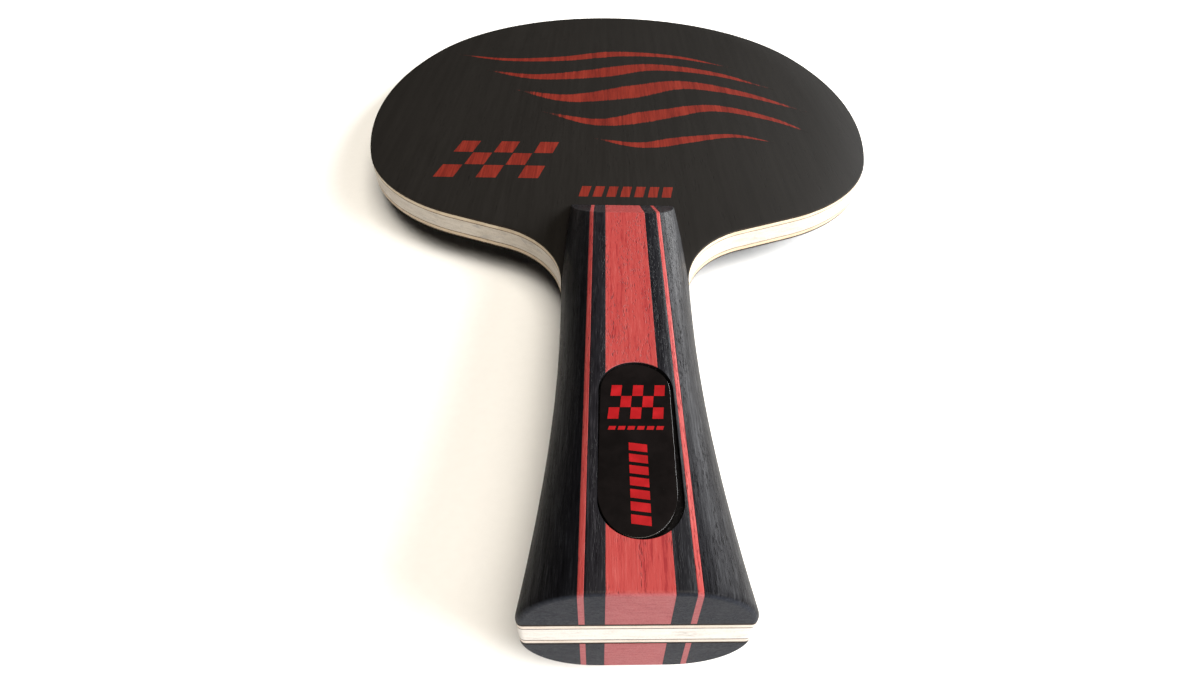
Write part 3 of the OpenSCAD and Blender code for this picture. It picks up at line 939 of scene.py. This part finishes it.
# loose waves over the middle of the head
waves = [
    ribbon([(-58, 209), (-40, 205), (-20, 207), (0, 213), (22, 211), (42, 201)], 6.4, lead=0.55, tail=0.45),
    ribbon([(-46, 194), (-28, 189), (-8, 193), (12, 200), (34, 195), (54, 181)], 9.6, lead=0.45, tail=0.55),
    ribbon([(-34, 177), (-16, 171), (4, 177), (22, 184), (42, 177), (61, 163)], 11.5, lead=0.4, tail=0.6),
    ribbon([(-24, 160), (-6, 153), (12, 159), (30, 165), (47, 158), (58, 148)], 8.6, lead=0.35, tail=0.65),
    ribbon([(-8, 142), (6, 138), (20, 142), (34, 145), (46, 141)], 5.4, lead=0.4, tail=0.6),
]
finish_piece(print_solid("front_print_waves", waves, HALF_T, [PRINT_FACE]))


lens_z = LENS_TOP
badge_a = checker(-4.05, 27.6, 1.72, 2.35, 0.25, 5, 3, 0.06, soft=0.04)
finish_piece(print_solid("badge_print_checks", badge_a, lens_z, [PRINT_BADGE]))
badge_b = [slanted(-3.95 + 1.45 * i, 25.5, 1.05, 0.7, 0.2, soft=0.04) for i in range(6)]
finish_piece(print_solid("badge_print_dashes", badge_b, lens_z, [PRINT_BADGE]))
badge_c = [block([(-0.9, 9.7 + 2.0 * i), (1.8, 9.3 + 2.0 * i), (1.8, 10.7 + 2.0 * i), (-0.9, 11.1 + 2.0 * i)], soft=0.05) for i in range(7)]
finish_piece(print_solid("badge_print_blocks", badge_c, lens_z, [PRINT_BADGE]))

# ------------------------------------------------------------------ floor
# The blade lies as it does on a table: on the edge of the back scale's bevel
# and on the tip of the head, so the floor is tilted a little in this frame.
rest_y = FOOT_Y - (SCALE - FOOT_LIP) / math.tan(math.radians(BEVEL))
slope = (SCALE) / (LENGTH - rest_y)
tilt = math.atan(slope)
origin = Vector((0, (rest_y + Y0) * MM, -0.00002))
axis_y = Vector((0, math.cos(tilt), math.sin(tilt)))
centre = origin + axis_y * 0.09
floor_verts, floor_faces = [centre], []
radii, spokes = [0.1, 0.25, 0.45, 0.7, 0.95], 72
for r in radii:
    for k in range(spokes):
        a = 2 * math.pi * k / spokes
        floor_verts.append(centre + Vector((r * math.cos(a), 0, 0)) + axis_y * (r * math.sin(a)))
for k in range(spokes):
    n = (k + 1) % spokes
    floor_faces.append((0, 1 + k, 1 + n))
    for j in range(len(radii) - 1):
        q = 1 + j * spokes
        floor_faces.append((q + k, q + spokes + k, q + spokes + n, q + n))
floor_mesh = bpy.data.meshes.new("floor")
floor_mesh.from_pydata([tuple(v) for v in floor_verts], [], floor_faces)
floor_mesh.update()
floor = bpy.data.objects.new("floor", floor_mesh)
floor.data.materials.append(floor_material())
bpy.context.scene.collection.objects.link(floor)


# ------------------------------------------------------------------ light
def area(name, place, aim, width, height, watts, colour=(1, 1, 1)):
    data = bpy.data.lights.new(name, "AREA")
    data.shape, data.size, data.size_y = "RECTANGLE", width, height
    data.energy, data.color = watts, colour
    ob = bpy.data.objects.new(name, data)
    ob.location = place
    ob.rotation_mode = "QUATERNION"
    ob.rotation_quaternion = (Vector(aim) - Vector(place)).to_track_quat("-Z", "Y")
    bpy.context.scene.collection.objects.link(ob)
    return ob


area("overhead_panel", (0.20, -0.42, 1.12), (0, -0.02, 0), 0.85, 0.85, 18, (1.0, 0.93, 0.82))
area("right_panel", (1.02, -0.34, 0.62), (0, -0.02, 0), 0.9, 0.55, 29, (1.0, 1.0, 1.0))
area("side_window", (1.05, 0.80, 0.34), (0, 0.0, 0), 0.8, 0.42, 24, (0.98, 0.99, 1.0))

world = bpy.data.worlds.new("studio")
world.use_nodes = True
wn, wl = world.node_tree.nodes, world.node_tree.links
dim = wn["Background"]
dim.inputs[0].default_value = (1.0, 0.88, 0.74, 1)
dim.inputs[1].default_value = 0.025
pale = wn.new("ShaderNodeBackground")
pale.inputs[0].default_value = (0.93, 0.925, 0.91, 1)
seen = wn.new("ShaderNodeLightPath")
join = wn.new("ShaderNodeMixShader")
wl.new(seen.outputs["Is Camera Ray"], join.inputs[0])
wl.new(dim.outputs[0], join.inputs[1])
wl.new(pale.outputs[0], join.inputs[2])
wl.new(join.outputs[0], wn["World Output"].inputs[0])
bpy.context.scene.world = world
bpy.context.scene.view_settings.view_transform = "Standard"

# ------------------------------------------------------------------ camera
F, CX, CY = 610.805, 620.264, 366.215
PITCH, YAW, ROLL = 0.788667, 0.042624, -0.035932
cp, sp, cw, sw = math.cos(PITCH), math.sin(PITCH), math.cos(YAW), math.sin(YAW)
forward = np.array([sw * cp, cw * cp, -sp])
right = np.array([cw, -sw, 0.0])
down = np.cross(forward, right)
c, s = math.cos(ROLL), math.sin(ROLL)
right, down = c * right + s * down, -s * right + c * down
cam_data = bpy.data.cameras.new("camera")
cam_data.sensor_fit, cam_data.sensor_width = "HORIZONTAL", 36.0
cam_data.lens = F * 36.0 / 1200
cam_data.shift_x = (600 - CX) / 1200
cam_data.shift_y = (CY - 337.5) / 1200
cam_data.clip_start, cam_data.clip_end = 0.005, 20
cam = bpy.data.objects.new("camera", cam_data)
m = Matrix.Identity(4)
for i in range(3):
    m[i][0], m[i][1], m[i][2] = right[i], -down[i], -forward[i]
place = np.array([-4.8867, -32.2448 + Y0, 83.6801 + Z0]) * MM
m[0][3], m[1][3], m[2][3] = place
cam.matrix_world = m
bpy.context.scene.collection.objects.link(cam)
bpy.context.scene.camera = cam

bpy.context.view_layer.update()
